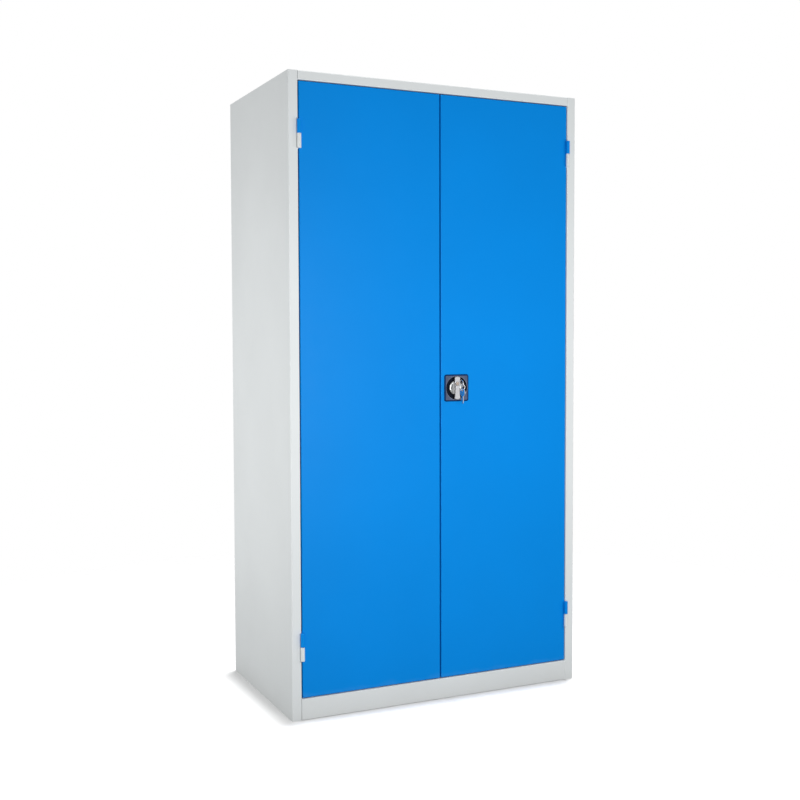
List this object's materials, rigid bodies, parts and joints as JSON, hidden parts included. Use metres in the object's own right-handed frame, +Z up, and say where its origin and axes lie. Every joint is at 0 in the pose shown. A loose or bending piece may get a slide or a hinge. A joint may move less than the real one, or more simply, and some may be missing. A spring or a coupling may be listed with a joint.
{
  "type": "tool cabinet with doors",
  "caption": "Tall steel cabinet with two hinged doors, shelves on slotted uprights and a turn handle that works lock rods at the top and bottom",
  "frame": {"origin": "centre of the carcass outline on the floor", "axes": "+Z up, the doors face -Y, +X to the right of a person facing the doors"},
  "size_m": [1, 0.6558, 1.95],
  "materials": {
    "grey_paint": "light grey powder coat, low sheen",
    "blue_paint": "gentian blue powder coat, low sheen",
    "zinc_steel": "bright zinc plate",
    "bright_steel": "bare turned steel",
    "buffer_rubber": "matt black rubber",
    "bush_plastic": "matt black nylon",
    "dish_plastic": "dark grey moulded plastic, fine grain",
    "handle_chrome": "bright chrome on die cast zinc",
    "cylinder_chrome": "polished chrome",
    "plug_brass": "nickelled brass",
    "key_steel": "nickel plated, polished",
    "ring_steel": "bright wire"
  },
  "bodies": {
    "carcass": {"left_side_panel": "grey_paint", "right_side_panel": "grey_paint", "back_panel": "grey_paint", "top_panel": "grey_paint", "base_frame": "grey_paint", "floor_panel": "grey_paint", "left_front_upright": "grey_paint", "left_rear_upright": "grey_paint", "right_front_upright": "grey_paint", "right_rear_upright": "grey_paint", "shelf_1": "grey_paint", "shelf_2": "grey_paint", "shelf_3": "grey_paint", "shelf_4": "grey_paint", "shelf_ribs": "grey_paint", "left_frame_knuckles": "grey_paint", "right_frame_knuckles": "grey_paint", "left_hinge_pins": "zinc_steel", "right_hinge_pins": "zinc_steel", "hinge_washers": "bright_steel", "shelf_clips": "zinc_steel", "door_buffers": "buffer_rubber"},
    "left_door": {"left_door_skin": "blue_paint", "left_door_rib": "blue_paint", "left_door_knuckles": "blue_paint", "bolt_guides": "zinc_steel", "bolt_bushes": "bush_plastic"},
    "right_door": {"right_door_skin": "blue_paint", "right_door_rib": "blue_paint", "right_door_knuckles": "blue_paint", "rod_guides": "zinc_steel", "rod_bushes": "bush_plastic", "lock_dish": "dish_plastic", "dish_screws": "zinc_steel"},
    "handle": {"turn_handle": "handle_chrome", "lock_cam": "zinc_steel", "cam_screw": "zinc_steel", "lock_cylinder": "cylinder_chrome"},
    "upper_rod": {"upper_lock_rod": "zinc_steel"},
    "lower_rod": {"lower_lock_rod": "zinc_steel"},
    "key": {"cylinder_plug": "plug_brass", "inserted_key": "key_steel"},
    "ring": {"key_ring": "ring_steel"},
    "hanging_key": {"spare_key": "key_steel"},
    "top_bolt": {"upper_bolt": "zinc_steel"},
    "bottom_bolt": {"lower_bolt": "zinc_steel"}
  },
  "joints": [
    {"name": "left_door_hinge", "type": "hinge", "parent": "carcass", "child": "left_door", "pos_m": [-0.4685, -0.3066, 0.999], "axis": [0, 0, -1], "range_deg": [0, 175]},
    {"name": "right_door_hinge", "type": "hinge", "parent": "carcass", "child": "right_door", "pos_m": [0.4685, -0.3066, 0.999], "axis": [0, 0, 1], "range_deg": [0, 175]},
    {"name": "handle_turn", "type": "hinge", "parent": "right_door", "child": "handle", "pos_m": [0.0565, -0.3005, 0.999], "axis": [0, 1, 0], "range_deg": [0, 90]},
    {"name": "upper_rod_slide", "type": "slide", "parent": "right_door", "child": "upper_rod", "axis": [0, 0, 1], "range_m": [0, 0.018]},
    {"name": "lower_rod_slide", "type": "slide", "parent": "right_door", "child": "lower_rod", "axis": [0, 0, -1], "range_m": [0, 0.018]},
    {"name": "key_turn", "type": "hinge", "parent": "handle", "child": "key", "pos_m": [0.0565, -0.3115, 1.0125], "axis": [0, 1, 0], "range_deg": [0, 90]},
    {"name": "ring_swing", "type": "hinge", "parent": "key", "child": "ring", "pos_m": [0.0565, -0.3435, 1.0107], "axis": [1, 0, 0], "range_deg": [-60, 10]},
    {"name": "spare_key_swing", "type": "hinge", "parent": "ring", "child": "hanging_key", "pos_m": [0.0565, -0.3435, 0.9941], "axis": [1, 0, 0], "range_deg": [-45, 15]},
    {"name": "top_bolt_slide", "type": "slide", "parent": "left_door", "child": "top_bolt", "axis": [0, 0, 1], "range_m": [0, 0.018]},
    {"name": "bottom_bolt_slide", "type": "slide", "parent": "left_door", "child": "bottom_bolt", "axis": [0, 0, -1], "range_m": [0, 0.018]}
  ],
  "couplings": [
    {"joint": "upper_rod_slide", "follows": "handle_turn", "m_per_rad": 0.011459},
    {"joint": "lower_rod_slide", "follows": "handle_turn", "m_per_rad": 0.011459}
  ]
}
